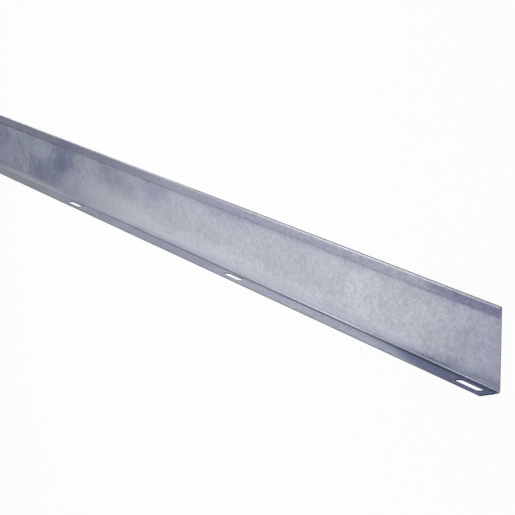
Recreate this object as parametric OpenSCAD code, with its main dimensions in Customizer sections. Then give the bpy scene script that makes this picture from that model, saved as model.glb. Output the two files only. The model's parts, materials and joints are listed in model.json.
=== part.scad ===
// Divider strip for a cable tray: one galvanised sheet, folded into a foot with
// slots, a web and a hemmed top edge. It is too narrow in the foot to stand by
// itself, so it lies on the back of its web with the foot upright: +X runs along
// the strip, +Y from the foot to the hem and +Z from the back of the web to the
// cut edge of the foot. The origin is the middle of the back of the web.

/* [Strip] */
// Length of the strip
strip_l = 3000; // [500:1:6000]
// Height of the divider, from the underside of the foot to the top of the hem
strip_h = 75; // [30:0.5:150]
// Thickness of the sheet
sheet_t = 1; // [0.6:0.05:2]

/* [Foot] */
// Width of the foot, from its cut edge to the back of the web
foot_w = 20; // [16:0.5:60]
// Inside radius of the bend between the foot and the web
foot_bend_r = 1.5; // [0.4:0.1:4]

/* [Hem] */
// Depth of the hem, from the top of its fold to the cut edge of its lip
hem_d = 10; // [5:0.5:20]
// Gap inside the hem, between its lip and the web
hem_gap = 0.6; // [0.4:0.1:2]

/* [Slots] */
// Number of slots along the foot
slot_count = 7; // [2:1:12]
// Width of a slot
slot_w = 7; // [4:0.1:10]
// Length of a slot over its round ends
slot_l = 40; // [12:0.5:60]
// Distance from an end of the strip to the middle of its first slot
slot_end = 33; // [32:0.5:80]

/* [Hidden] */
$fn = 64;

zinc_grey = [0.66, 0.68, 0.73];

foot_bend = 90;
foot_bend_outer_r = foot_bend_r + sheet_t;
hem_fold = 180;
hem_fold_r = hem_gap / 2;
hem_fold_outer_r = hem_fold_r + sheet_t;

// Straight runs of the folded sheet
foot_run = foot_w - foot_bend_outer_r;
web_run = strip_h - foot_bend_outer_r - hem_fold_outer_r;
lip_run = hem_d - hem_fold_outer_r;

// Slots lie midway between the cut edge of the foot and the front of the web
slot_pitch = (strip_l - 2 * slot_end) / (slot_count - 1);
slot_z = (foot_w + sheet_t) / 2;
slot_r = slot_w / 2;
slot_round_x = (slot_l - slot_w) / 2;
cut_clearance = 1;

// Each run and fold is drawn with the sheet along +X, its inside face up on +Y
// and the strip's length along Z, so that the next one can start at its end.

// A flat run of the sheet
module run(width) {
    translate([0, 0, -strip_l / 2])
        cube([width, sheet_t, strip_l]);
}

// A bend of the sheet, rolled about an axis above its inside face
module fold(angle, inside_r) {
    translate([0, sheet_t + inside_r, 0])
        rotate(-90)
            rotate_extrude(angle = angle)
                translate([inside_r, -strip_l / 2])
                    square([sheet_t, strip_l]);
}

// Places what follows at the end of a run and its bend
module after(width, angle, inside_r) {
    translate([width, sheet_t + inside_r, 0])
        rotate(angle)
            translate([0, -sheet_t - inside_r, 0])
                children();
}

// The whole sheet, from the cut edge of the foot to the cut edge of the lip
module folded_sheet() {
    run(foot_run);
    translate([foot_run, 0, 0])
        fold(foot_bend, foot_bend_r);
    after(foot_run, foot_bend, foot_bend_r) {
        run(web_run);
        translate([web_run, 0, 0])
            fold(hem_fold, hem_fold_r);
        after(web_run, hem_fold, hem_fold_r)
            run(lip_run);
    }
}

// A slot with round ends, through the sheet of the foot
module slot() {
    rotate([90, 0, 0])
        linear_extrude(sheet_t + 2 * cut_clearance, center = true) {
            square([2 * slot_round_x, slot_w], center = true);
            for (side = [-1, 1])
                translate([side * slot_round_x, 0])
                    circle(r = slot_r);
        }
}

module slots() {
    for (i = [0 : slot_count - 1])
        translate([-strip_l / 2 + slot_end + i * slot_pitch, (sheet_t - strip_h) / 2, slot_z])
            slot();
}

module divider_strip() {
    color(zinc_grey)
        difference() {
            translate([0, -strip_h / 2, foot_w])
                rotate([0, 90, 0])
                    folded_sheet();
            slots();
        }
}

divider_strip();
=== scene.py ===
"""Divider strip for a cable tray: one galvanised sheet with a slotted foot, a web and a hemmed top edge."""

import json
import math

import bmesh
import bpy
from mathutils import Matrix, Vector


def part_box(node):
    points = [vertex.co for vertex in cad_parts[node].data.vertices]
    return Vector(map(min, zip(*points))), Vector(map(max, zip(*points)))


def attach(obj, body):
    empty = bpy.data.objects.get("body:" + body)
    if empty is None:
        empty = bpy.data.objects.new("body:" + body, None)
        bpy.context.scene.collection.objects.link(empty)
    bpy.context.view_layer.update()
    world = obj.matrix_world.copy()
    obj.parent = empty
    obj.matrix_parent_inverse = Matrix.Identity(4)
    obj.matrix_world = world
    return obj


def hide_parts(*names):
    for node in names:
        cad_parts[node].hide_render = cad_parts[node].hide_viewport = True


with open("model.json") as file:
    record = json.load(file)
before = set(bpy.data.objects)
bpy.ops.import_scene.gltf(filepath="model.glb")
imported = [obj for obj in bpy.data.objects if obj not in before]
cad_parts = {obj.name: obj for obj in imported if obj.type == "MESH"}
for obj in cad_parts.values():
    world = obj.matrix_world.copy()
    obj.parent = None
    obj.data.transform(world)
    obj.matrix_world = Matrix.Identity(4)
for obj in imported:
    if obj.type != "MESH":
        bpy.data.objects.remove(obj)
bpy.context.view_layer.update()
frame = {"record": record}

bl_info = {
    "name": "Cable tray divider",
    "version": (1, 0, 0),
    "blender": (4, 5, 0),
    "location": "View3D > Sidebar > Divider",
    "description": "Folds a galvanised divider strip and sets it on a pale floor",
    "category": "Object",
}

STRIP_NODE = "divider_strip"
MM = 0.001

# The sides and the cut edges of the sheet, in the order of its materials
FRONT, BACK, SLIT, END, CUT = range(5)

# Points this close are one point, points of a punched outline this close too, and points this near a cut
# are on it
SAME_PLACE = 1e-6
SAME_CORNER = 2e-5
ON_CUT = 1e-7

# Widths of the narrow strips of sheet that part the large faces from the edges
END_STRIP = 0.004
TOE_STRIP = 0.001
BEND_STRIP = 0.0006
LIP_STRIP = 0.001
SLOT_STRIP = 0.0022

# How many flats make up each round shape
SLOT_FLATS = 10
BEND_FLATS = 14
HEM_FLATS = 26
PUNCHED_FLATS = 3
SHEARED_FLATS = 2

# Edges that turn by more than this are rounded
SHARP_TURN = math.radians(50)

# What is within this share of a slot's width from its middle line belongs to the slot
SLOT_SHARE = 0.52

# The map laid out for baking the finish has this name; the gaps are shares of a side and of a row of it,
# and a cut face reaches this share of its cell from the middle
BAKE_MAP = "OFBake"
SIDE_GAP = 0.004
ROW_GAP = 0.016
CELL_REACH = 0.45

# Settings that all lengths, all tones and all places in the panel share
LENGTH = {"precision": 6, "subtype": "DISTANCE", "unit": "LENGTH"}
TONE = {"size": 3, "min": 0.0, "max": 1.0, "subtype": "COLOR"}
PLACE = {"size": 3, "subtype": "TRANSLATION", "unit": "LENGTH"}
ANGLE = {"subtype": "ANGLE", "unit": "ROTATION"}


def slot_patterns():
    """The record's bolt patterns, with the end slots first."""
    found = [mount for mount in frame["record"]["mounts"] if mount["kind"] == "bolt_pattern"]
    if not found:
        raise RuntimeError("the record has no bolt pattern")
    return found


def slot_places():
    """Middles of the slots along the strip, from the record's bolt patterns."""
    places = set()
    for mount in slot_patterns():
        half = mount["dims"]["spacing_x_mm"] * MM / 2
        for side in (-half, half):
            places.add(round(mount["pos_m"][0] + side, 6))
    return sorted(places)


SLOTS_X = slot_places()
SLOTS_Z = slot_patterns()[0]["pos_m"][2]
SLOT_DIMS = slot_patterns()[0]["dims"]
BAY_L = SLOTS_X[1] - SLOTS_X[0]


class StripSizes(bpy.types.PropertyGroup):
    """Sizes of the folded sheet that its outer box doesn't give."""

    sheet_t: bpy.props.FloatProperty(
        name="Sheet thickness",
        description="Thickness of the galvanised sheet",
        default=0.001,
        min=0.0005,
        max=0.002,
        **LENGTH,
    )
    bend_r: bpy.props.FloatProperty(
        name="Foot bend radius",
        description="Outside radius of the bend between foot and web",
        default=0.0025,
        min=0.001,
        max=0.006,
        **LENGTH,
    )
    hem_r: bpy.props.FloatProperty(
        name="Hem fold radius",
        description="Outside radius of the fold along the top of the hem",
        default=0.0013,
        min=0.001,
        max=0.003,
        **LENGTH,
    )
    hem_d: bpy.props.FloatProperty(
        name="Hem depth",
        description="From the top of the fold to the cut edge of the lip",
        default=0.010,
        min=0.005,
        max=0.02,
        **LENGTH,
    )
    lip_lean: bpy.props.FloatProperty(
        name="Lip lean",
        description="How far the hem's lip is pressed in towards the web",
        default=math.radians(1.8),
        min=0.0,
        max=math.radians(3.0),
        **ANGLE,
    )
    lip_taper: bpy.props.FloatProperty(
        name="Lip taper",
        description="How much shallower the hem's lip is cut at the near end of the strip",
        default=0.001,
        min=0.0,
        max=0.002,
        **LENGTH,
    )
    slot_w: bpy.props.FloatProperty(
        name="Slot width",
        description="Width of a slot across the foot",
        default=2 * SLOT_DIMS["hole_r_mm"] * MM,
        min=0.004,
        max=0.01,
        **LENGTH,
    )
    slot_l: bpy.props.FloatProperty(
        name="Slot length",
        description="Length of a slot over its round ends",
        default=SLOT_DIMS["slot_length_mm"] * MM,
        min=0.012,
        max=0.06,
        **LENGTH,
    )
    punch_round: bpy.props.FloatProperty(
        name="Punched rounding",
        description="Rounding that the punch leaves on the upper edge of a slot",
        default=0.00025,
        min=0.0001,
        max=0.0004,
        **LENGTH,
    )
    edge_break: bpy.props.FloatProperty(
        name="Edge break",
        description="Small rounding of the sheared edges",
        default=0.00012,
        min=0.00002,
        max=0.0003,
        **LENGTH,
    )


class ZincFinish(bpy.types.PropertyGroup):
    """Colours and texture of the galvanised sheet."""

    front_light: bpy.props.FloatVectorProperty(
        name="Front, light",
        description="Lightest tone of the mottled front of the sheet",
        default=(0.66, 0.667, 0.712),
        **TONE,
    )
    front_dark: bpy.props.FloatVectorProperty(
        name="Front, dark",
        description="Darkest tone of the mottled front of the sheet",
        default=(0.37, 0.378, 0.43),
        **TONE,
    )
    back_light: bpy.props.FloatVectorProperty(
        name="Back, light",
        description="Lightest tone of the smoother back, which the hem turns to the front",
        default=(0.475, 0.478, 0.558),
        **TONE,
    )
    back_dark: bpy.props.FloatVectorProperty(
        name="Back, dark",
        description="Darkest tone of the smoother back",
        default=(0.28, 0.282, 0.36),
        **TONE,
    )
    slit_tone: bpy.props.FloatVectorProperty(
        name="Slit edges",
        description="Tone of the long edges, where zinc is smeared over the steel",
        default=(0.14, 0.135, 0.14),
        **TONE,
    )
    # Painted light: the ends of the web and the lip get a lighter tone than the other cut edges, for the
    # light they don't get.
    end_tone: bpy.props.FloatVectorProperty(
        name="Ends of the web",
        description="Tone of the short ends of the web and the lip, which face away from the lamps",
        default=(0.425, 0.415, 0.47),
        **TONE,
    )
    # On the ends of the foot this very dark tone is painted shade, as under a foot end resting on a floor;
    # in the slots it is the steel's tone.
    cut_tone: bpy.props.FloatVectorProperty(
        name="Cut ends",
        description="Tone of the bare steel at the cut ends of the foot and in the slots",
        default=(0.045, 0.048, 0.062),
        **TONE,
    )
    # Dull patches of zinc, and painted shade: this tone also draws the shade under the lip's edge, in the
    # crease and at the lip's near end.
    dull_and_painted_shade_tone: bpy.props.FloatVectorProperty(
        name="Dull patches",
        description="What the dulled patches leave of the sheet's tone",
        default=(0.55, 0.55, 0.745),
        **TONE,
    )
    # Painted dark reflection and shade: this tone draws the dark that the foot's near end mirrors and the
    # shade at the near end of the web and the lip, not blued steel.
    painted_dark_end_tone: bpy.props.FloatVectorProperty(
        name="Blued end",
        description="What the blued end of the foot leaves of the sheet's tone",
        default=(0.308, 0.36, 0.57),
        **TONE,
    )
    tint_tone: bpy.props.FloatVectorProperty(
        name="Bluish zinc",
        description="What a bluish tint leaves of the sheet's tone",
        default=(0.86, 0.885, 1.0),
        **TONE,
    )
    dust_tone: bpy.props.FloatVectorProperty(
        name="Dust",
        description="Tone of the dust on the far part of the foot and along the bend",
        default=(0.745, 0.71, 0.65),
        **TONE,
    )
    # Painted highlight: this light tone draws the highlight along the fold of the hem, not rubbed zinc.
    painted_highlight_tone: bpy.props.FloatVectorProperty(
        name="Worn fold",
        description="Tone of the zinc rubbed bright along the fold of the hem",
        default=(0.87, 0.85, 0.77),
        **TONE,
    )
    # Painted light: this pale tone draws the light the foot throws on the low part of the web and the
    # highlight along the round of the bend, not rubbing.
    painted_light_tone: bpy.props.FloatVectorProperty(
        name="Pale web",
        description="Tone of the web where it is rubbed pale, low down along the foot",
        default=(0.85, 0.845, 0.825),
        **TONE,
    )
    # Painted shade: this dark tone draws the shade in the crease between foot and web, under the lip's edge
    # and along the top of the fold.
    painted_shade_tone: bpy.props.FloatVectorProperty(
        name="Grime",
        description="Tone of the dirt that lies along the crease and under the lip",
        default=(0.128, 0.128, 0.155),
        **TONE,
    )
    grain: bpy.props.FloatProperty(
        name="Grain",
        description="Size of the zinc's mottle",
        default=0.0020,
        min=0.001,
        max=0.02,
        **LENGTH,
    )
    fleck: bpy.props.FloatProperty(
        name="Fleck",
        description="Size of the flecks on the weathered part of the strip",
        default=0.007,
        min=0.002,
        max=0.05,
        **LENGTH,
    )
    cloud: bpy.props.FloatProperty(
        name="Cloud",
        description="Size of the large dull clouds",
        default=0.05,
        min=0.02,
        max=0.5,
        **LENGTH,
    )


class StudioSettings(bpy.types.PropertyGroup):
    """Floor, light and camera."""

    floor_tone: bpy.props.FloatVectorProperty(
        name="Floor",
        description="Colour of the floor",
        default=(0.95, 0.95, 0.95),
        **TONE,
    )
    sky_tone: bpy.props.FloatVectorProperty(
        name="Room light",
        description="Colour of the soft light all round",
        default=(0.68, 0.77, 1.0),
        **TONE,
    )
    eye: bpy.props.FloatVectorProperty(
        name="Camera",
        description="Place of the camera",
        default=(2.934, 0.4194, 0.8886),
        **PLACE,
    )
    aim: bpy.props.FloatVectorProperty(
        name="Aim",
        description="Place in the middle of the picture",
        default=(1.01945, -0.00925, 0.00143),
        **PLACE,
    )
    roll: bpy.props.FloatProperty(
        name="Roll",
        description="Turn of the camera about its line of sight, from the strip's height upright",
        default=math.radians(-0.064),
        **ANGLE,
    )
    lens: bpy.props.FloatProperty(
        name="Lens",
        description="Focal length on a 36 mm sensor",
        default=144.5,
        min=10.0,
        max=400.0,
        subtype="DISTANCE_CAMERA",
    )


def verts_in(geom):
    return [g for g in geom if isinstance(g, bmesh.types.BMVert)]


def edges_in(geom):
    return [g for g in geom if isinstance(g, bmesh.types.BMEdge)]


def faces_in(geom):
    return [g for g in geom if isinstance(g, bmesh.types.BMFace)]


def in_order(geom):
    """Each of these once, in the order in which they come."""
    return list(dict.fromkeys(geom))


def everything(bm):
    return bm.verts[:] + bm.edges[:] + bm.faces[:]


def border_at(bm, axis, place):
    """Open edges that lie at one place along an axis."""
    found = []
    for edge in bm.edges:
        if edge.is_boundary and all(abs(v.co[axis] - place) < SAME_PLACE for v in edge.verts):
            found.append(edge)
    return found


def widen(bm, edges):
    """Lengthens the sheet by a run that has no width yet, and gives its new points and border."""
    made = bmesh.ops.extrude_edge_only(bm, edges=edges)["geom"]
    points = verts_in(made)
    far = set(points)
    return points, [e for e in edges_in(made) if all(v in far for v in e.verts)]


def run_on(bm, edges, step):
    """Lengthens the sheet from these edges by a flat run, and gives its new border."""
    points, border = widen(bm, edges)
    bmesh.ops.translate(bm, vec=step, verts=points)
    return border


def fold_on(bm, edges, centre, angle, flats):
    """Rolls the sheet on from these edges about an axis along the strip, and gives its new border."""
    corners = in_order(v for e in edges for v in e.verts)
    turned = bmesh.ops.spin(
        bm,
        geom=corners + edges,
        cent=centre,
        axis=(1.0, 0.0, 0.0),
        dvec=(0.0, 0.0, 0.0),
        angle=angle,
        steps=flats,
        use_merge=False,
        use_duplicate=False,
    )
    return edges_in(turned["geom_last"])


def flat_blank(bm, length, width):
    """A flat rectangle about the origin."""
    corners = bmesh.ops.create_grid(bm, x_segments=1, y_segments=1, size=0.5)["verts"]
    bmesh.ops.scale(bm, vec=(length, width, 1.0), verts=corners)
    return corners


def round_off(bm, geom, affect, width, flats):
    """Bevels corners or edges to a round of this width."""
    bmesh.ops.bevel(
        bm,
        geom=geom,
        offset=width,
        offset_type="OFFSET",
        affect=affect,
        segments=flats,
        profile=0.5,
        clamp_overlap=True,
        material=-1,
    )


def punch_bay(bm, sizes, low_z, high_z):
    """One bay of the foot with its slot, drawn flat with the strip's +Z along Y."""
    corners = flat_blank(bm, sizes.slot_l, sizes.slot_w)
    round_off(bm, corners, "VERTICES", sizes.slot_w / 2, SLOT_FLATS)
    bmesh.ops.remove_doubles(bm, verts=bm.verts[:], dist=SAME_CORNER)
    bmesh.ops.delete(bm, geom=bm.faces[:], context="FACES_ONLY")
    ring, rim = widen(bm, bm.edges[:])
    wider = (1 + 2 * SLOT_STRIP / sizes.slot_l, 1 + 2 * SLOT_STRIP / sizes.slot_w, 1.0)
    bmesh.ops.scale(bm, vec=wider, verts=ring)
    bmesh.ops.translate(bm, vec=(0.0, SLOTS_Z, 0.0), verts=bm.verts[:])
    outline = flat_blank(bm, BAY_L, high_z - low_z)
    bmesh.ops.translate(bm, vec=(0.0, (high_z + low_z) / 2, 0.0), verts=outline)
    blank = in_order(f for v in outline for f in v.link_faces)
    bmesh.ops.delete(bm, geom=blank, context="FACES_ONLY")
    sides = in_order(e for v in outline for e in v.link_edges)
    bmesh.ops.triangle_fill(bm, use_beauty=True, use_dissolve=False, edges=rim + sides)


def lay_foot(bm, sizes, low, high):
    """The outer face of the foot with all its slots, between the strips beside its edges."""
    low_z = sizes.bend_r + BEND_STRIP
    high_z = high.z - TOE_STRIP
    punch_bay(bm, sizes, low_z, high_z)
    bmesh.ops.rotate(bm, cent=(0, 0, 0), matrix=Matrix.Rotation(math.pi / 2, 3, "X"), verts=bm.verts[:])
    bmesh.ops.translate(bm, vec=(SLOTS_X[0], low.y, 0.0), verts=bm.verts[:])
    bay = everything(bm)
    for place in SLOTS_X[1:]:
        copied = bmesh.ops.duplicate(bm, geom=bay)["geom"]
        bmesh.ops.translate(bm, vec=(place - SLOTS_X[0], 0.0, 0.0), verts=verts_in(copied))
    bmesh.ops.remove_doubles(bm, verts=bm.verts[:], dist=SAME_PLACE)
    for end in (low.x + END_STRIP, high.x - END_STRIP):
        bmesh.ops.bisect_plane(
            bm,
            geom=everything(bm),
            dist=ON_CUT,
            plane_co=(end, 0.0, 0.0),
            plane_no=(math.copysign(1.0, end), 0.0, 0.0),
            clear_outer=True,
            clear_inner=False,
        )
    return low_z, high_z


def fold_sheet(bm, sizes, low, high):
    """The outer side of the sheet, from the cut edge of the foot to the cut edge of the lip."""
    low_z, high_z = lay_foot(bm, sizes, low, high)
    run_on(bm, border_at(bm, 2, high_z), (0.0, 0.0, high.z - high_z))
    edge = run_on(bm, border_at(bm, 2, low_z), (0.0, 0.0, sizes.bend_r - low_z))
    bend = (0.0, low.y + sizes.bend_r, low.z + sizes.bend_r)
    edge = fold_on(bm, edge, bend, math.pi / 2, BEND_FLATS)
    fold = (0.0, high.y - sizes.hem_r, low.z + sizes.hem_r)
    edge = run_on(bm, edge, (0.0, fold[1] - bend[1], 0.0))
    turn = math.pi + sizes.lip_lean
    edge = fold_on(bm, edge, fold, turn, HEM_FLATS)
    lip = (sizes.hem_d - sizes.hem_r) / math.cos(sizes.lip_lean)
    along = Vector((0.0, math.cos(turn), math.sin(turn)))
    edge = run_on(bm, edge, along * (lip - LIP_STRIP))
    tip = run_on(bm, edge, along * LIP_STRIP)
    near_end = high.x - END_STRIP
    lip_ends = in_order(v for e in edge + tip for v in e.verts)
    shallow = [v for v in lip_ends if abs(v.co.x - near_end) < SAME_PLACE]
    bmesh.ops.translate(bm, vec=along * -sizes.lip_taper, verts=shallow)
    for end, place in ((low.x, low.x + END_STRIP), (high.x, near_end)):
        run_on(bm, border_at(bm, 0, place), (end - place, 0.0, 0.0))
    bmesh.ops.remove_doubles(bm, verts=bm.verts[:], dist=SAME_PLACE)
    bmesh.ops.recalc_face_normals(bm, faces=bm.faces[:])
    web = max(bm.faces, key=lambda f: f.calc_area())
    if web.normal.z > 0:
        bmesh.ops.reverse_faces(bm, faces=bm.faces[:])


def in_slot(place, sizes):
    """Whether a place on the foot is in a slot or on its edge."""
    half = (sizes.slot_l - sizes.slot_w) / 2
    nearest = min(SLOTS_X, key=lambda x: abs(place.x - x))
    beyond = max(abs(place.x - nearest) - half, 0.0)
    return math.hypot(beyond, place.z - SLOTS_Z) < sizes.slot_w * SLOT_SHARE


def give_thickness(bm, sizes):
    """Thickens the sheet inwards and marks its back, its front and its cut edges."""
    outer = bm.faces[:]
    inner = faces_in(bmesh.ops.solidify(bm, geom=outer, thickness=sizes.sheet_t)["geom"])
    for face in bm.faces:
        middle = face.calc_center_median()
        at_end = max(range(3), key=lambda axis: abs(face.normal[axis])) == 0
        on_foot = middle.z > 2 * sizes.bend_r
        # The foot's ends take the very dark cut finish as painted shade; the ends of the web and the lip
        # take a lighter one as painted light.
        if in_slot(middle, sizes) or (at_end and on_foot):
            face.material_index = CUT
        else:
            face.material_index = END if at_end else SLIT
    for face in outer:
        face.material_index = BACK
    for face in inner:
        face.material_index = FRONT


def break_edges(bm, sizes):
    """Rounds the punched edges on the front of the slots, then the sheared edges a little."""
    punched = []
    sheared = []
    for edge in bm.edges:
        if not edge.is_manifold or edge.calc_face_angle() <= SHARP_TURN:
            continue
        kinds = {f.material_index for f in edge.link_faces}
        middle = (edge.verts[0].co + edge.verts[1].co) / 2
        if kinds == {FRONT, CUT} and in_slot(middle, sizes):
            punched.append(edge)
        else:
            sheared.append(edge)
    round_off(bm, punched, "EDGES", sizes.punch_round, PUNCHED_FLATS)
    round_off(bm, sheared, "EDGES", sizes.edge_break, SHEARED_FLATS)


def unrolled(place, sizes, low, high):
    """How far a place lies along the unrolled sheet, from the toe of the foot to the edge of the lip."""
    bend_y = low.y + sizes.bend_r
    bend_z = low.z + sizes.bend_r
    fold_y = high.y - sizes.hem_r
    fold_z = low.z + sizes.hem_r
    bend = high.z - bend_z
    web = bend + sizes.bend_r * math.pi / 2
    fold = web + fold_y - bend_y
    lip = fold + sizes.hem_r * math.pi
    if place.y > fold_y:
        return fold + sizes.hem_r * math.atan2(place.y - fold_y, fold_z - place.z)
    if place.y > bend_y:
        return lip + fold_y - place.y if place.z > fold_z else web + place.y - bend_y
    if place.z < bend_z:
        return bend + sizes.bend_r * math.atan2(bend_z - place.z, bend_y - place.y)
    return high.z - place.z


def lay_out_map(bm, sizes, low, high):
    """Lays the unrolled sheet out for baking: a row to each bay, front beside back, the cut edges on top."""
    layer = bm.loops.layers.uv.new(BAKE_MAP)
    lip_edge = Vector((0.0, high.y - sizes.hem_d, low.z + 2 * sizes.hem_r))
    sheet_w = unrolled(lip_edge, sizes, low, high)
    rows = len(SLOTS_X) + 1
    cut_edges = []
    for face in bm.faces:
        if face.material_index not in (FRONT, BACK):
            cut_edges.append(face)
            continue
        middle = face.calc_center_median().x
        bay = min(range(len(SLOTS_X)), key=lambda i: abs(middle - SLOTS_X[i]))
        for loop in face.loops:
            along = (loop.vert.co.x - SLOTS_X[bay]) / BAY_L + 0.5
            across = unrolled(loop.vert.co, sizes, low, high) / sheet_w
            u = (face.material_index + SIDE_GAP + along * (1 - 2 * SIDE_GAP)) / 2
            v = (bay + ROW_GAP + across * (1 - 2 * ROW_GAP)) / rows
            loop[layer].uv = (u, v)
    columns = math.ceil(math.sqrt(len(cut_edges) * rows))
    lines = math.ceil(len(cut_edges) / columns)
    for i, face in enumerate(cut_edges):
        for k, loop in enumerate(face.loops):
            turn = 2 * math.pi * (k + 0.5) / len(face.loops)
            u = (i % columns + 0.5 + CELL_REACH * math.cos(turn)) / columns
            v = (i // columns + 0.5 + CELL_REACH * math.sin(turn)) / lines
            loop[layer].uv = (u, (rows - 1 + ROW_GAP + v * (1 - ROW_GAP)) / rows)


def feed(tree, socket, value):
    """Links a socket to another one, or sets it to a plain value."""
    if isinstance(value, bpy.types.NodeSocket):
        tree.links.new(value, socket)
    else:
        socket.default_value = value


def add_node(tree, kind, **values):
    """Adds a node with its own settings and then its sockets, which are named with _ for a space."""
    node = tree.nodes.new(kind)
    for name, value in values.items():
        if hasattr(node, name):
            setattr(node, name, value)
        else:
            feed(tree, node.inputs[name.replace("_", " ")], value)
    return node


def number_from(tree, operation, *terms, **settings):
    """A Math node's result, from terms that are numbers or sockets."""
    node = add_node(tree, "ShaderNodeMath", operation=operation, **settings)
    for socket, term in zip(node.inputs, terms):
        feed(tree, socket, term)
    return node.outputs["Value"]


def vector_from(tree, operation, *terms):
    """A Vector Math node's result, from terms that are vectors or sockets."""
    node = add_node(tree, "ShaderNodeVectorMath", operation=operation)
    for socket, term in zip(node.inputs, terms):
        feed(tree, socket, term)
    return node.outputs["Value" if operation in ("LENGTH", "DOT_PRODUCT") else "Vector"]


def centred(tree, colour):
    """A noise's colour as a push to either side."""
    return vector_from(tree, "SUBTRACT", colour, (0.5, 0.5, 0.5))


def stretched(tree, where, stretch):
    """A place, scaled by itself in each direction."""
    return add_node(tree, "ShaderNodeMapping", Vector=where, Scale=stretch).outputs["Vector"]


def ramp(tree, value, start, end, low=0.0, high=1.0, curve="SMOOTHSTEP"):
    """A value that goes from low to high while another goes from start to end."""
    node = add_node(
        tree,
        "ShaderNodeMapRange",
        interpolation_type=curve,
        Value=value,
        From_Min=start,
        From_Max=end,
        To_Min=low,
        To_Max=high,
    )
    return node.outputs["Result"]


def part_of(tree, where, axis):
    """One direction of a place."""
    return add_node(tree, "ShaderNodeSeparateXYZ", Vector=where).outputs[axis]


def new_group(name, inputs, outputs):
    """An empty node group. Inputs with a default are numbers, those with None vectors, outputs numbers."""
    group = bpy.data.node_groups.new(name, "ShaderNodeTree")
    for label, value in inputs.items():
        kind = "NodeSocketVector" if value is None else "NodeSocketFloat"
        socket = group.interface.new_socket(name=label, in_out="INPUT", socket_type=kind)
        if value is not None:
            socket.default_value = value
    for label in outputs:
        group.interface.new_socket(name=label, in_out="OUTPUT", socket_type="NodeSocketFloat")
    given = group.nodes.new("NodeGroupInput").outputs
    out = group.nodes.new("NodeGroupOutput").inputs
    return group, given, out


def zinc_mottle_group():
    """Soft crystals of zinc: a tone for each grain, a finer speckle, and their height."""
    group, given, out = new_group("zinc_mottle", {"Vector": None, "Scale": 240.0}, ("Mottle", "Height"))
    scale = given["Scale"]
    drawn = stretched(group, given["Vector"], (0.6, 1.0, 1.0))
    ragged = add_node(group, "ShaderNodeTexNoise", Vector=drawn, Scale=scale, Detail=2.0, Roughness=0.5)
    push = centred(group, ragged.outputs["Color"])
    reach = number_from(group, "DIVIDE", 1.4, scale)
    pushed = add_node(group, "ShaderNodeVectorMath", operation="SCALE", Vector=push, Scale=reach)
    placed = vector_from(group, "ADD", drawn, pushed.outputs["Vector"])
    crystals = add_node(
        group,
        "ShaderNodeTexVoronoi",
        feature="SMOOTH_F1",
        Vector=placed,
        Scale=scale,
        Smoothness=0.45,
    )
    tone = add_node(group, "ShaderNodeSeparateColor", Color=crystals.outputs["Color"])
    finer = number_from(group, "MULTIPLY", scale, 2.6)
    noise = add_node(group, "ShaderNodeTexNoise", Vector=drawn, Scale=finer, Detail=4.0, Roughness=0.62)
    speckle = noise.outputs["Fac"]
    both = add_node(group, "ShaderNodeMix", data_type="FLOAT", Factor=0.5, A=tone.outputs["Red"], B=speckle)
    group.links.new(both.outputs["Result"], out["Mottle"])
    group.links.new(speckle, out["Height"])
    return group


def dull_clouds_group():
    """Large soft clouds where the zinc has dulled, drawn out a little along the strip."""
    group, given, out = new_group("dull_clouds", {"Vector": None, "Scale": 8.0}, ("Clouds",))
    noise = add_node(
        group,
        "ShaderNodeTexNoise",
        Vector=stretched(group, given["Vector"], (0.8, 1.0, 1.0)),
        Scale=given["Scale"],
        Detail=5.0,
        Roughness=0.58,
        Distortion=0.6,
    )
    group.links.new(ramp(group, noise.outputs["Fac"], 0.3, 0.7), out["Clouds"])
    return group


def roll_lines_group():
    """Faint lines that the forming rolls leave along the strip."""
    group, given, out = new_group("roll_lines", {"Vector": None}, ("Lines",))
    drawn = stretched(group, given["Vector"], (1.5, 420.0, 420.0))
    lines = add_node(group, "ShaderNodeTexNoise", Vector=drawn, Scale=1.0, Detail=3.0, Roughness=0.6)
    group.links.new(lines.outputs["Fac"], out["Lines"])
    return group


def soft_spot_group():
    """One spot with soft edges: an oval about a place, which may slant along the strip."""
    group, given, out = new_group(
        "soft_spot",
        {"Vector": None, "Place": None, "Reach": None, "Slant": 0.0, "Core": 0.4},
        ("Spot",),
    )
    away = vector_from(group, "SUBTRACT", given["Vector"], given["Place"])
    parts = add_node(group, "ShaderNodeSeparateXYZ", Vector=away).outputs
    height = number_from(group, "ADD", parts["Y"], parts["Z"])
    lean = number_from(group, "MULTIPLY", height, given["Slant"])
    level = number_from(group, "SUBTRACT", parts["X"], lean)
    turned = add_node(group, "ShaderNodeCombineXYZ", X=level, Y=parts["Y"], Z=parts["Z"])
    scaled = vector_from(group, "DIVIDE", turned.outputs["Vector"], given["Reach"])
    far = vector_from(group, "LENGTH", scaled)
    group.links.new(ramp(group, far, 1.0, given["Core"]), out["Spot"])
    return group


def long_line_group():
    """A line along the strip, broken up by noise, that fades in between two places."""
    group, given, out = new_group(
        "long_line",
        {"Vector": None, "Place": None, "Reach": 0.001, "From": -3.0, "Full": -2.0},
        ("Line",),
    )
    away = vector_from(group, "SUBTRACT", given["Vector"], given["Place"])
    across = vector_from(group, "MULTIPLY", away, (0.0, 1.0, 1.0))
    far = vector_from(group, "LENGTH", across)
    soft = ramp(group, number_from(group, "DIVIDE", far, given["Reach"]), 1.0, 0.5)
    noise = add_node(
        group,
        "ShaderNodeTexNoise",
        Vector=given["Vector"],
        Scale=22.0,
        Detail=5.0,
        Roughness=0.6,
    )
    broken = ramp(group, noise.outputs["Fac"], 0.3, 0.7, low=0.55, curve="LINEAR")
    drawn = number_from(group, "MULTIPLY", soft, broken)
    fade = ramp(group, part_of(group, given["Vector"], "X"), given["From"], given["Full"])
    group.links.new(number_from(group, "MULTIPLY", drawn, fade), out["Line"])
    return group


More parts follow.
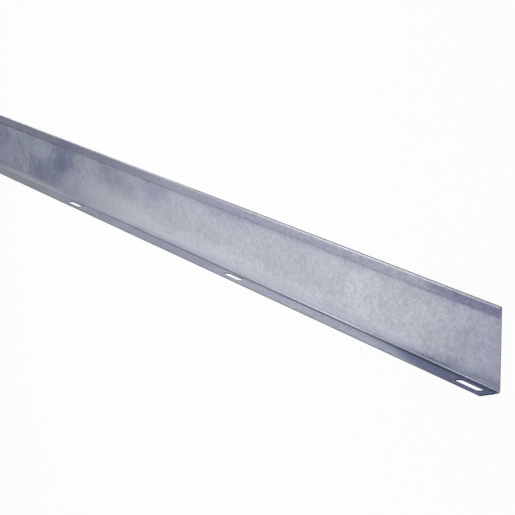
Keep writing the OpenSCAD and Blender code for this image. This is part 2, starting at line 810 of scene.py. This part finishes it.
# The far part of the strip is weathered: from the first place along it, and fully from the second
WEATHERED = (0.8, 0.45)

# A spot with a shorter reach than this has clean edges, any other ragged ones
THIN_SPOT = 0.007

# The raggedness, coarse and then fine: its scale and how far it pushes an edge
RAGGED = ((34.0, (0.07, 0.036, 0.0)), (150.0, (0.05, 0.026, 0.0)))

# Roughness where dust and the lines of painted shade lie
DUST_AND_SHADE_ROUGHNESS = 0.9
GRAIN_HEIGHT = 0.0002
SPECK_SCALE = 1500.0
SPECK_CONTRAST = 0.3
SPECK_ROUGHNESS = 0.08
TORN_HEIGHT = 0.0001

# The shade of the zinc lies about "middle". "mottle" and "lines" say how much the grains and the roll lines
# change it, "cloud" how much the clouds do on the clean and on the weathered part, and "flecks" what share
# of that the flecks do. "metal" is how metallic the clean zinc is, and "dull" and "shiny" how rough its
# darks and lights are.
# A spot has its place, its reach, its slant along the strip, the share of it that is full, and its strength.
# A line along the strip has its place, its reach, where it starts, where it is full, and its strength.
FRONT_LOOK = {
    "metal": 0.65,
    "middle": 0.5,
    "mottle": 0.9,
    "lines": 0.06,
    "cloud": (0.20, 0.6),
    "dull": 0.43,
    "shiny": 0.35,
    "bump": 0.15,
    "flecks": 1.0,
    # Lighter patches of zinc; the spots low on the web are painted light that the foot throws on it.
    "bright_and_painted_light_spots": (
        ((0.95, -0.036, 0.0), (0.60, 0.030, 0.006), 0.0, 0.3, 0.40),
        ((0.60, -0.026, 0.0), (0.22, 0.034, 0.006), 0.0, 0.3, 0.28),
        ((1.27, 0.000, 0.0), (0.16, 0.036, 0.006), 0.0, 0.2, 0.20),
        ((0.50, -0.020, 0.0), (0.10, 0.040, 0.006), 0.4, 0.2, 0.34),
        ((0.31, 0.014, 0.0), (0.06, 0.020, 0.006), 0.0, 0.2, 0.28),
        ((0.27, -0.030, 0.0), (0.09, 0.020, 0.006), 0.0, 0.3, 0.28),
        ((0.23, 0.022, 0.0), (0.06, 0.014, 0.006), 0.0, 0.2, 0.40),
        ((1.345, -0.0315, 0.0), (0.070, 0.012, 0.006), 0.0, 0.2, 0.30),
        ((1.455, -0.0310, 0.0), (0.035, 0.012, 0.006), 0.0, 0.3, 0.35),
    ),
    # Painted light: brighter low on the web, where the foot throws light on it, and along the round of the
    # bend.
    "painted_light_spots": (
        ((0.86, -0.0335, 0.001), (0.54, 0.0080, 0.0022), 0.0, 0.5, 0.42),
        ((0.60, -0.026, 0.0), (0.22, 0.034, 0.006), 0.0, 0.3, 0.30),
        ((0.78, -0.0337, 0.0010), (0.28, 0.0042, 0.0016), 0.0, 0.4, 0.60),
        ((1.47, -0.0352, 0.0014), (0.13, 0.0030, 0.0030), 0.0, 0.4, 0.36),
        ((0.29, -0.0345, 0.0010), (0.15, 0.0070, 0.0030), 0.0, 0.4, 0.60),
    ),
    "dust_spots": (
        ((0.10, -0.0362, 0.012), (0.48, 0.0055, 0.022), 0.0, 0.7, 0.60),
        ((0.78, -0.0363, 0.0022), (0.52, 0.0016, 0.0016), 0.0, 0.9, 0.52),
        ((1.33, -0.0361, 0.0016), (0.12, 0.0020, 0.0020), 0.0, 0.2, 0.45),
    ),
    "tint_spots": (
        ((1.520, -0.003, 0.0), (0.160, 0.070, 0.005), 0.0, 0.2, 0.60),
        ((0.300, 0.000, 0.0), (0.320, 0.090, 0.005), 0.0, 0.5, 0.45),
        ((0.820, -0.0357, 0.0014), (0.480, 0.0040, 0.0040), 0.0, 0.4, 0.36),
        # Painted shade: the bluish shade under the lip's edge at the near end.
        ((1.440, 0.0266, 0.0010), (0.100, 0.0065, 0.0040), 0.0, 0.2, 0.80),
        ((0.830, -0.0366, 0.0090), (0.160, 0.0013, 0.0140), 0.0, 0.5, 0.50),
        ((1.130, -0.0366, 0.0060), (0.100, 0.0013, 0.0070), 0.0, 0.4, 0.40),
    ),
    # Dull patches, and painted shade: the spots just under the lip's edge and the dark line in the crease.
    "dull_and_painted_shade_spots": (
        ((0.420, 0.016, 0.0), (0.055, 0.026, 1.0), 0.3, 0.4, 0.70),
        ((0.352, -0.012, 0.0), (0.090, 0.026, 1.0), 1.5, 0.4, 0.46),
        ((0.320, -0.018, 0.0), (0.030, 0.020, 1.0), 0.4, 0.2, 0.22),
        ((0.585, 0.020, 0.0), (0.062, 0.028, 1.0), -1.5, 0.2, 0.40),
        ((0.738, 0.023, 0.0), (0.066, 0.026, 1.0), 0.0, 0.3, 0.55),
        ((0.930, 0.027, 0.0), (0.170, 0.017, 1.0), 0.0, 0.2, 0.34),
        ((0.165, -0.005, 0.0), (0.065, 0.050, 1.0), 0.5, 0.3, 0.20),
        ((0.690, -0.0365, 0.010), (0.050, 0.016, 0.030), 0.0, 0.2, 0.20),
        ((0.500, -0.0366, 0.011), (0.120, 0.0015, 0.014), 0.0, 0.3, 0.16),
        ((1.080, 0.0278, 0.0), (0.400, 0.009, 0.004), 0.0, 0.3, 0.42),
        ((0.720, -0.03625, 0.0020), (0.290, 0.0010, 0.0014), 0.0, 0.6, 1.00),
        ((0.950, 0.0268, 0.0010), (0.130, 0.0013, 0.0020), 0.0, 0.4, 0.55),
        ((1.423, 0.0245, 0.0010), (0.012, 0.0060, 0.0040), 0.0, 0.2, 0.40),
    ),
    # Painted dark reflection on the near end of the foot, and painted shade at the near end of the web and
    # along the bend there.
    "painted_dark_end_spots": (
        ((1.520, -0.0367, 0.010), (0.210, 0.0012, 0.040), 3.4, 0.75, 1.0),
        ((1.350, -0.0366, 0.005), (0.130, 0.0010, 0.014), 0.0, 0.2, 0.48),
        ((1.510, -0.005, 0.0), (0.110, 0.055, 0.004), 0.0, 0.1, 0.08),
        ((1.385, -0.0336, 0.001), (0.050, 0.0016, 0.003), 0.0, 0.2, 0.50),
        ((1.490, -0.0312, 0.001), (0.060, 0.0022, 0.003), 0.0, 0.2, 0.40),
        ((1.501, -0.0367, 0.0110), (0.005, 0.0012, 0.030), 0.0, 0.5, 0.70),
    ),
    # Painted shade: dark lines in the crease between foot and web and under the lip's edge.
    "painted_shade_lines": (
        ((0.0, -0.0364, 0.0033), 0.0022, 0.34, 0.52, 0.60),
        ((0.0, 0.0279, 0.0010), 0.0010, 1.34, 1.44, 0.15),
        ((0.0, 0.0266, 0.0010), 0.0022, 1.00, 0.62, 0.80),
        ((0.0, 0.0268, 0.0010), 0.0014, 0.80, 1.00, 0.22),
    ),
    "painted_highlight_lines": (),
}

BACK_LOOK = {
    "metal": 0.75,
    "middle": 0.5,
    "mottle": 1.2,
    "lines": 0.08,
    "cloud": (0.12, 0.3),
    "dull": 0.37,
    "shiny": 0.30,
    "bump": 0.08,
    "flecks": 0.0,
    "bright_and_painted_light_spots": (((0.700, 0.0320, 0.0026), (0.220, 0.0140, 0.0022), 0.0, 0.3, 0.20),),
    "painted_light_spots": (),
    "dust_spots": (),
    "tint_spots": (),
    # Dull patches on the lip; the spot at its near end is painted shade.
    "dull_and_painted_shade_spots": (
        ((0.970, 0.031, 0.0025), (0.200, 0.030, 0.010), 0.0, 0.2, 0.14),
        ((1.180, 0.0285, 0.0025), (0.220, 0.0060, 0.006), 0.0, 0.2, 0.26),
        ((1.480, 0.034, 0.0025), (0.150, 0.014, 0.010), 0.0, 0.4, 0.56),
        ((0.432, 0.032, 0.0025), (0.055, 0.030, 0.010), 0.0, 0.3, 0.36),
    ),
    # Painted shade at the near end of the lip.
    "painted_dark_end_spots": (((1.455, 0.0325, 0.0025), (0.095, 0.012, 0.005), 0.0, 0.3, 0.42),),
    # Painted shade along the top of the fold.
    "painted_shade_lines": (((0.0, 0.0378, 0.0013), 0.0015, 0.72, 1.00, 0.95),),
    # Painted highlight along the fold of the hem.
    "painted_highlight_lines": (
        ((0.0, 0.0363, 0.0027), 0.0011, 0.15, 0.75, 0.45),
        ((0.0, 0.0378, 0.0013), 0.0015, 1.34, 1.42, 0.50),
        ((0.0, 0.0372, 0.0020), 0.0013, 0.50, 0.36, 0.30),
    ),
}


def ragged_place(tree, where, scale, push):
    """The place on the strip, pushed about by noise so that the patches get ragged edges."""
    noise = add_node(tree, "ShaderNodeTexNoise", Vector=where, Scale=scale, Detail=5.0, Roughness=0.72)
    return vector_from(tree, "MULTIPLY_ADD", centred(tree, noise.outputs["Color"]), push, where)


def place_mark(tree, group, where, mark):
    """Puts one spot or line on the sheet and gives its mask; the mark's strength stays out of it."""
    node = add_node(tree, "ShaderNodeGroup", node_tree=group)
    for socket, value in zip(node.inputs, (where, *mark[:-1])):
        feed(tree, socket, value)
    return node.outputs[0]


def zinc_shade(tree, groups, finish, look, where, mottle):
    """How light the zinc is, from its grains, roll lines, clouds, flecks and bright spots, some of them
    painted light.
    """
    middle = look["middle"] - look["mottle"] / 2 - look["lines"] / 2
    shade = number_from(tree, "MULTIPLY_ADD", mottle, look["mottle"], middle)
    lines = add_node(tree, "ShaderNodeGroup", node_tree=groups["lines"], Vector=where)
    shade = number_from(tree, "MULTIPLY_ADD", lines.outputs["Lines"], look["lines"], shade)
    weathered = ramp(tree, part_of(tree, where, "X"), *WEATHERED, *look["cloud"])
    flecked = number_from(tree, "MULTIPLY", weathered, look["flecks"])
    for size, share in ((finish.cloud, weathered), (finish.fleck, flecked)):
        clouds = add_node(tree, "ShaderNodeGroup", node_tree=groups["clouds"], Vector=where, Scale=1 / size)
        either_way = number_from(tree, "SUBTRACT", clouds.outputs["Clouds"], 0.5)
        shade = number_from(tree, "MULTIPLY_ADD", either_way, share, shade)
    for spot in look["bright_and_painted_light_spots"]:
        mask = place_mark(tree, groups["spot"], where, spot)
        shade = number_from(tree, "MULTIPLY_ADD", mask, spot[-1], shade)
    return shade


def marked_zinc(tree, groups, finish, look, where, colour):
    """The zinc's colour with its spots and lines, some painted light and shade, and the share that dust and
    painted shade cover.
    """
    ragged = where
    for scale, push in RAGGED:
        ragged = ragged_place(tree, ragged, scale, push)
    dust_and_painted_shade = 0.0
    for kind, tone, blend in (
        ("painted_light_spots", finish.painted_light_tone, "MIX"),
        ("dust_spots", finish.dust_tone, "MIX"),
        ("tint_spots", finish.tint_tone, "MULTIPLY"),
        ("dull_and_painted_shade_spots", finish.dull_and_painted_shade_tone, "MULTIPLY"),
        ("painted_dark_end_spots", finish.painted_dark_end_tone, "MULTIPLY"),
        ("painted_shade_lines", finish.painted_shade_tone, "MIX"),
        ("painted_highlight_lines", finish.painted_highlight_tone, "MIX"),
    ):
        is_line = kind.endswith("lines")
        for mark in look[kind]:
            clean = is_line or min(mark[1]) < THIN_SPOT
            mask = place_mark(tree, groups["line" if is_line else "spot"], where if clean else ragged, mark)
            mixed = add_node(
                tree,
                "ShaderNodeMix",
                data_type="RGBA",
                blend_type=blend,
                Factor=number_from(tree, "MULTIPLY", mask, mark[-1]),
                A=colour,
                B=(*tone, 1.0),
            )
            colour = mixed.outputs["Result"]
            if kind in ("dust_spots", "painted_shade_lines"):
                dust_and_painted_shade = number_from(tree, "MULTIPLY_ADD", mask, mark[-1], dust_and_painted_shade, use_clamp=True)
    return colour, dust_and_painted_shade


def new_material(name):
    """A material with nothing in it but its output, given with its nodes and the output's surface."""
    mat = bpy.data.materials.new(name)
    mat.use_nodes = True
    tree = mat.node_tree
    tree.nodes.clear()
    return mat, tree, tree.nodes.new("ShaderNodeOutputMaterial").inputs["Surface"]


def zinc_material(name, groups, finish, light, dark, look):
    """Galvanised sheet: tone from grains, clouds and marks, shine and bump from the same grains."""
    mat, tree, surface = new_material(name)
    where = tree.nodes.new("ShaderNodeTexCoord").outputs["Object"]
    grains = add_node(
        tree,
        "ShaderNodeGroup",
        node_tree=groups["mottle"],
        Vector=where,
        Scale=1 / finish.grain,
    )
    shade = zinc_shade(tree, groups, finish, look, where, grains.outputs["Mottle"])
    clean = add_node(
        tree,
        "ShaderNodeMix",
        data_type="RGBA",
        clamp_factor=True,
        Factor=shade,
        A=(*dark, 1.0),
        B=(*light, 1.0),
    )
    colour, dust_and_painted_shade = marked_zinc(tree, groups, finish, look, where, clean.outputs["Result"])
    gloss = ramp(tree, shade, 0.0, 1.0, look["dull"], look["shiny"], curve="LINEAR")
    dust_and_shade_gloss = add_node(tree, "ShaderNodeMix", data_type="FLOAT", Factor=dust_and_painted_shade, A=gloss, B=DUST_AND_SHADE_ROUGHNESS)
    rough = add_node(
        tree,
        "ShaderNodeBump",
        Strength=look["bump"],
        Distance=GRAIN_HEIGHT,
        Height=grains.outputs["Height"],
    )
    zinc = add_node(
        tree,
        "ShaderNodeBsdfPrincipled",
        Base_Color=colour,
        Metallic=ramp(tree, dust_and_painted_shade, 0.0, 1.0, look["metal"], 0.0, curve="LINEAR"),
        Roughness=dust_and_shade_gloss.outputs["Result"],
        Normal=rough.outputs["Normal"],
    )
    tree.links.new(zinc.outputs["BSDF"], surface)
    return mat


def edge_material(name, groups, tone, roughness):
    """Sheared steel: grey with fine marks across the sheet and darker specks."""
    mat, tree, surface = new_material(name)
    where = tree.nodes.new("ShaderNodeTexCoord").outputs["Object"]
    specks = add_node(tree, "ShaderNodeGroup", node_tree=groups["mottle"], Vector=where, Scale=SPECK_SCALE)
    height = specks.outputs["Height"]
    shade = add_node(
        tree,
        "ShaderNodeMix",
        data_type="RGBA",
        Factor=specks.outputs["Mottle"],
        A=(*(part * (1 - SPECK_CONTRAST) for part in tone), 1.0),
        B=(*(part * (1 + SPECK_CONTRAST) for part in tone), 1.0),
    )
    torn = add_node(tree, "ShaderNodeBump", Strength=0.3, Distance=TORN_HEIGHT, Height=height)
    low = roughness - SPECK_ROUGHNESS
    high = roughness + SPECK_ROUGHNESS
    steel = add_node(
        tree,
        "ShaderNodeBsdfPrincipled",
        Base_Color=shade.outputs["Result"],
        Metallic=1.0,
        Roughness=ramp(tree, height, 0.0, 1.0, low, high, curve="LINEAR"),
        Normal=torn.outputs["Normal"],
    )
    tree.links.new(steel.outputs["BSDF"], surface)
    return mat


def strip_materials(finish):
    """The finishes of the sheet, in the order of FRONT, BACK, SLIT, END and CUT."""
    groups = {
        "mottle": zinc_mottle_group(),
        "clouds": dull_clouds_group(),
        "lines": roll_lines_group(),
        "spot": soft_spot_group(),
        "line": long_line_group(),
    }
    front = zinc_material("zinc_front", groups, finish, finish.front_light, finish.front_dark, FRONT_LOOK)
    back = zinc_material("zinc_back", groups, finish, finish.back_light, finish.back_dark, BACK_LOOK)
    slit = edge_material("slit_edge", groups, finish.slit_tone, roughness=0.42)
    end = edge_material("web_end", groups, finish.end_tone, roughness=0.6)
    cut = edge_material("cut_end", groups, finish.cut_tone, roughness=0.5)
    return front, back, slit, end, cut


class DIVIDER_OT_fold_strip(bpy.types.Operator):
    """Fold the galvanised sheet into the divider strip"""

    bl_idname = "divider.fold_strip"
    bl_label = "Fold the strip"

    def execute(self, context):
        sizes = context.scene.strip_sizes
        low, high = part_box(STRIP_NODE)
        bm = bmesh.new()
        fold_sheet(bm, sizes, low, high)
        give_thickness(bm, sizes)
        break_edges(bm, sizes)
        lay_out_map(bm, sizes, low, high)
        for face in bm.faces:
            face.smooth = True
        if any(not e.is_manifold for e in bm.edges):
            raise RuntimeError("the folded sheet is not closed")
        mesh = bpy.data.meshes.new("folded_strip")
        bm.to_mesh(mesh)
        bm.free()
        strip = bpy.data.objects.new("folded_strip", mesh)
        context.scene.collection.objects.link(strip)
        for mat in strip_materials(context.scene.zinc_finish):
            mesh.materials.append(mat)
        flats = strip.modifiers.new("flat_faces", "WEIGHTED_NORMAL")
        flats.mode = "FACE_AREA"
        flats.weight = 80
        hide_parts(STRIP_NODE)
        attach(strip, "root")
        return {"FINISHED"}


# Half the width of the floor, and the share of it that shows plain white and not the strip's shadow
FLOOR_REACH = 60.0
WHITE_SHARE = 0.955

WHITE = (1.0, 1.0, 1.0)
WARM = (1.0, 0.985, 0.955)
COOL = (0.93, 0.96, 1.0)

# The room's light, and where it is dimmer: the direction, how nearly a look has to be along it for the
# dimming to start and to be full, and the levels before and after
DIM_SIDE = (-0.92, 0.0, 0.392)
DIM_RANGE = (0.6, 0.95)
ROOM_LEVELS = (0.40, 0.13)

# Name, place, what it is turned to, size, level and colour of each softbox
SMALL_BOX = (0.36, 0.26)
SOFTBOXES = (
    ("top_softbox", (0.5, 0.0, 1.9), (0.5, 0.0, 0.0), (2.6, 0.85), 1.15, WHITE),
    ("near_softbox", (0.72, -0.22, 0.45), (1.47, 0.0, 0.0), SMALL_BOX, 1.05, WARM),
    ("middle_softbox", (0.31, -0.18, 0.38), (1.10, 0.0, 0.0), SMALL_BOX, 1.17, WARM),
    ("far_softbox", (-0.60, -0.13, 0.28), (0.25, 0.0, 0.0), SMALL_BOX, 0.46, COOL),
    ("foot_softbox", (0.53, 0.20, 0.42), (1.30, 0.0, 0.0), SMALL_BOX, 3.2, COOL),
    ("foot_end_softbox", (0.72, 0.22, 0.45), (1.47, 0.0, 0.0), SMALL_BOX, 0.8, COOL),
    ("foot_far_softbox", (0.04, 0.17, 0.35), (0.85, 0.0, 0.0), SMALL_BOX, 0.35, WARM),
    ("hem_softbox", (-2.60, 1.65, 0.40), (1.00, 0.0, 0.0), (1.80, 0.75), 3.0, WARM),
)


def floor_material(studio):
    """Matt floor that shows white to the camera and in the metal, and keeps a share for the shadow."""
    mat, tree, surface = new_material("pale_floor")
    matt = add_node(tree, "ShaderNodeBsdfDiffuse", Color=(*studio.floor_tone, 1.0))
    white = add_node(tree, "ShaderNodeEmission", Color=(*WHITE, 1.0), Strength=1.0)
    ray = tree.nodes.new("ShaderNodeLightPath").outputs
    seen = number_from(tree, "MAXIMUM", ray["Is Camera Ray"], ray["Is Glossy Ray"])
    shown = number_from(tree, "MAXIMUM", seen, ray["Is Transmission Ray"])
    blend = tree.nodes.new("ShaderNodeMixShader")
    share = number_from(tree, "MULTIPLY", shown, WHITE_SHARE)
    for socket, value in zip(blend.inputs, (share, matt.outputs[0], white.outputs[0])):
        feed(tree, socket, value)
    tree.links.new(blend.outputs[0], surface)
    return mat


def lay_floor(scene, studio):
    """A large pale floor behind the strip's web."""
    bm = bmesh.new()
    bmesh.ops.create_grid(bm, x_segments=1, y_segments=1, size=FLOOR_REACH)
    mesh = bpy.data.meshes.new("floor")
    bm.to_mesh(mesh)
    bm.free()
    floor = bpy.data.objects.new("floor", mesh)
    scene.collection.objects.link(floor)
    mesh.materials.append(floor_material(studio))


def hang_softbox(scene, name, place, target, size, level, tone):
    """A softbox at a place, turned to a target; level is how bright its face is, with 1 as white."""
    lamp = bpy.data.lights.new(name, "AREA")
    lamp.shape = "RECTANGLE"
    lamp.size = size[0]
    lamp.size_y = size[1]
    lamp.energy = level * math.pi * size[0] * size[1]
    lamp.color = tone
    box = bpy.data.objects.new(name, lamp)
    box.location = place
    box.rotation_mode = "QUATERNION"
    box.rotation_quaternion = (Vector(target) - Vector(place)).to_track_quat("-Z", "Y")
    box.visible_camera = False
    scene.collection.objects.link(box)


def light_room(scene, studio):
    """Soft light all round, less of it low down beyond the far end of the strip, and the softboxes."""
    world = bpy.data.worlds.new("soft_room")
    world.use_nodes = True
    tree = world.node_tree
    tree.nodes.clear()
    where = tree.nodes.new("ShaderNodeTexCoord").outputs["Generated"]
    facing = vector_from(tree, "DOT_PRODUCT", where, DIM_SIDE)
    room = add_node(
        tree,
        "ShaderNodeBackground",
        Color=(*studio.sky_tone, 1.0),
        Strength=ramp(tree, facing, *DIM_RANGE, *ROOM_LEVELS),
    )
    add_node(tree, "ShaderNodeOutputWorld", Surface=room.outputs[0])
    scene.world = world
    for softbox in SOFTBOXES:
        hang_softbox(scene, *softbox)


def set_camera(scene, studio):
    """The camera at the photograph's viewing angle, with the strip's height upright in the picture."""
    data = bpy.data.cameras.new("camera")
    data.lens = studio.lens
    data.sensor_width = 36.0
    data.clip_start = 0.05
    data.clip_end = 200.0
    camera = bpy.data.objects.new("camera", data)
    eye = Vector(studio.eye)
    back = (eye - Vector(studio.aim)).normalized()
    right = Vector((0.0, 1.0, 0.0)).cross(back).normalized()
    up = back.cross(right)
    upright = Matrix((right, up, back)).transposed()
    rolled = upright @ Matrix.Rotation(studio.roll, 3, "Z")
    camera.matrix_world = Matrix.Translation(eye) @ rolled.to_4x4()
    scene.collection.objects.link(camera)
    scene.camera = camera


class DIVIDER_OT_set_stage(bpy.types.Operator):
    """Lay the floor, hang the softboxes and set the camera"""

    bl_idname = "divider.set_stage"
    bl_label = "Set the stage"

    def execute(self, context):
        scene = context.scene
        lay_floor(scene, scene.studio)
        light_room(scene, scene.studio)
        set_camera(scene, scene.studio)
        scene.view_settings.view_transform = "Standard"
        return {"FINISHED"}


class DIVIDER_PT_panel(bpy.types.Panel):
    """Sizes, finish and stage of the divider strip"""

    bl_idname = "DIVIDER_PT_panel"
    bl_label = "Cable tray divider"
    bl_space_type = "VIEW_3D"
    bl_region_type = "UI"
    bl_category = "Divider"

    def draw(self, context):
        layout = self.layout
        for group in (context.scene.strip_sizes, context.scene.zinc_finish, context.scene.studio):
            box = layout.box()
            for name in group.__annotations__:
                box.prop(group, name)
        layout.operator(DIVIDER_OT_fold_strip.bl_idname)
        layout.operator(DIVIDER_OT_set_stage.bl_idname)


CLASSES = (
    StripSizes,
    ZincFinish,
    StudioSettings,
    DIVIDER_OT_fold_strip,
    DIVIDER_OT_set_stage,
    DIVIDER_PT_panel,
)


def register():
    for cls in CLASSES:
        bpy.utils.register_class(cls)
    bpy.types.Scene.strip_sizes = bpy.props.PointerProperty(type=StripSizes)
    bpy.types.Scene.zinc_finish = bpy.props.PointerProperty(type=ZincFinish)
    bpy.types.Scene.studio = bpy.props.PointerProperty(type=StudioSettings)


def unregister():
    del bpy.types.Scene.studio
    del bpy.types.Scene.zinc_finish
    del bpy.types.Scene.strip_sizes
    for cls in reversed(CLASSES):
        bpy.utils.unregister_class(cls)


def main():
    register()
    bpy.ops.divider.fold_strip()
    bpy.ops.divider.set_stage()


if __name__ == "__main__":
    main()
